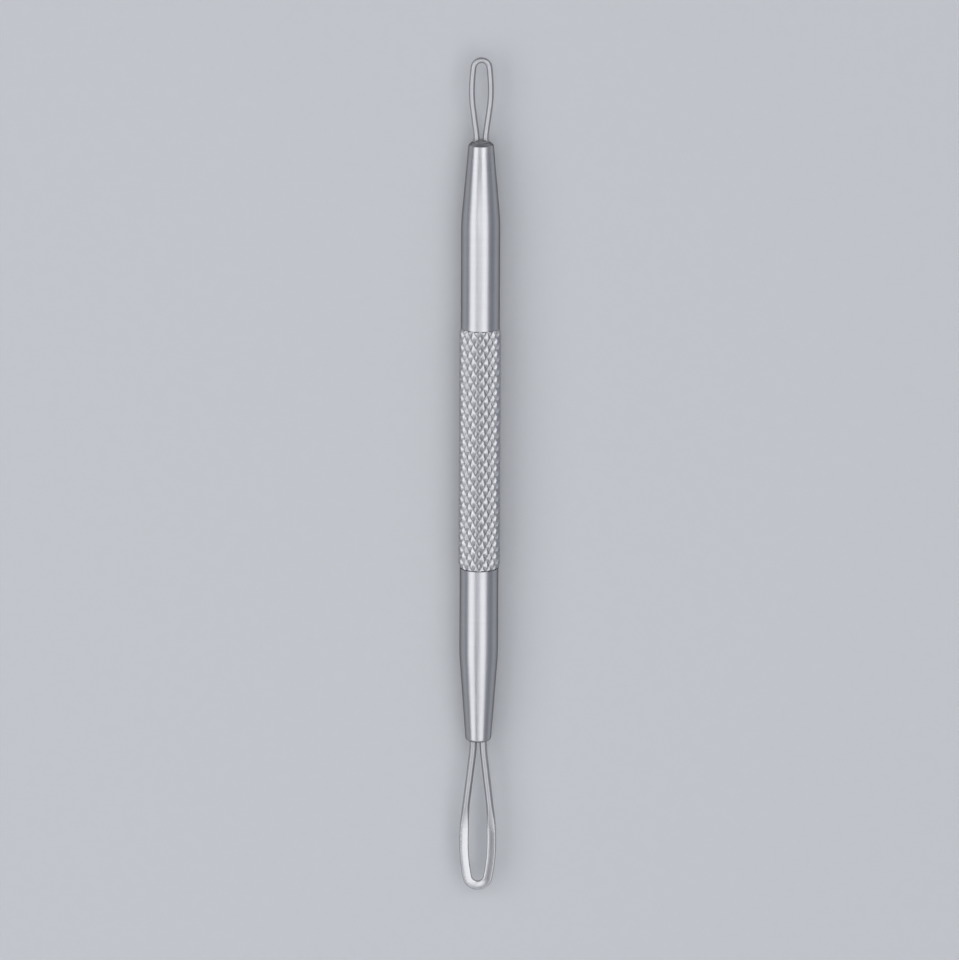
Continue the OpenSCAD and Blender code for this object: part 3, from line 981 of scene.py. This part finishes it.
class EXTRACTOR_OT_lay_stage(bpy.types.Operator):
    """Lay the floor, hang the lights and set up the camera"""
    bl_idname = "extractor.lay_stage"
    bl_label = "Lay the Stage"

    def execute(self, context):
        studio = context.scene.extractor_studio
        rest_all()
        bpy.ops.mesh.primitive_plane_add(size=4, location=(0, 0, 0))
        floor = bpy.context.object
        floor.name = "Floor"
        floor.data.materials.append(floor_material(studio))

        world = bpy.data.worlds.new("Studio")
        world.use_nodes = True
        sky = world.node_tree.nodes['Background']
        sky.inputs['Color'].default_value = SKY_COLOUR
        sky.inputs['Strength'].default_value = SKY_STRENGTH
        context.scene.world = world

        for soft_box in SOFT_BOXES:
            soft_light(*soft_box)

        slant = studio.slant
        centre = Vector((0, 0, AXIS_Z))
        place = centre + studio.distance * Vector((0, math.sin(slant), math.cos(slant)))
        rest_all()
        bpy.ops.object.camera_add(location=place)
        camera = bpy.context.object
        camera.name = "Camera"
        look = Matrix.Rotation(-slant, 3, 'X') @ Matrix.Rotation(studio.roll, 3, 'Z')
        camera.rotation_euler = look.to_euler()
        camera.data.sensor_width = SENSOR_W
        camera.data.lens = SENSOR_W * studio.distance / studio.frame_h
        camera.data.clip_start = 0.01
        camera.data.clip_end = 10
        context.scene.camera = camera
        context.scene.view_settings.view_transform = 'Standard'
        return {'FINISHED'}


class EXTRACTOR_PT_panel(bpy.types.Panel):
    """Lists the pieces of the tool and their sizes"""
    bl_idname = "EXTRACTOR_PT_panel"
    bl_label = "Blackhead Extractor"
    bl_space_type = 'VIEW_3D'
    bl_region_type = 'UI'
    bl_category = "Extractor"

    def draw(self, context):
        for operator, group in STEPS:
            box = self.layout.box()
            box.operator(operator.bl_idname)
            settings = getattr(context.scene, group)
            for key in settings.bl_rna.properties.keys():
                if key not in {"rna_type", "name"}:
                    box.prop(settings, key)


SETTINGS = {
    "extractor_handle": HandleSizes,
    "extractor_knurl": KnurlSizes,
    "extractor_large": LargeLoopSizes,
    "extractor_small": SmallLoopSizes,
    "extractor_braze": BrazeSizes,
    "extractor_finish": SteelFinish,
    "extractor_studio": StudioSettings,
}
STEPS = (
    (EXTRACTOR_OT_turn_handle, "extractor_handle"),
    (EXTRACTOR_OT_bend_large_loop, "extractor_large"),
    (EXTRACTOR_OT_bend_small_loop, "extractor_small"),
    (EXTRACTOR_OT_run_braze, "extractor_braze"),
    (EXTRACTOR_OT_lay_stage, "extractor_studio"),
)
CLASSES = (*SETTINGS.values(), *(operator for operator, _ in STEPS), EXTRACTOR_PT_panel)


def register():
    for cls in CLASSES:
        bpy.utils.register_class(cls)
    for name, cls in SETTINGS.items():
        setattr(bpy.types.Scene, name, bpy.props.PointerProperty(type=cls))


def unregister():
    for name in SETTINGS:
        delattr(bpy.types.Scene, name)
    for cls in reversed(CLASSES):
        bpy.utils.unregister_class(cls)


def main():
    register()
    bpy.ops.extractor.turn_handle()
    bpy.ops.extractor.bend_large_loop()
    bpy.ops.extractor.bend_small_loop()
    bpy.ops.extractor.run_braze()
    bpy.ops.extractor.lay_stage()


if __name__ == "__main__":
    main()
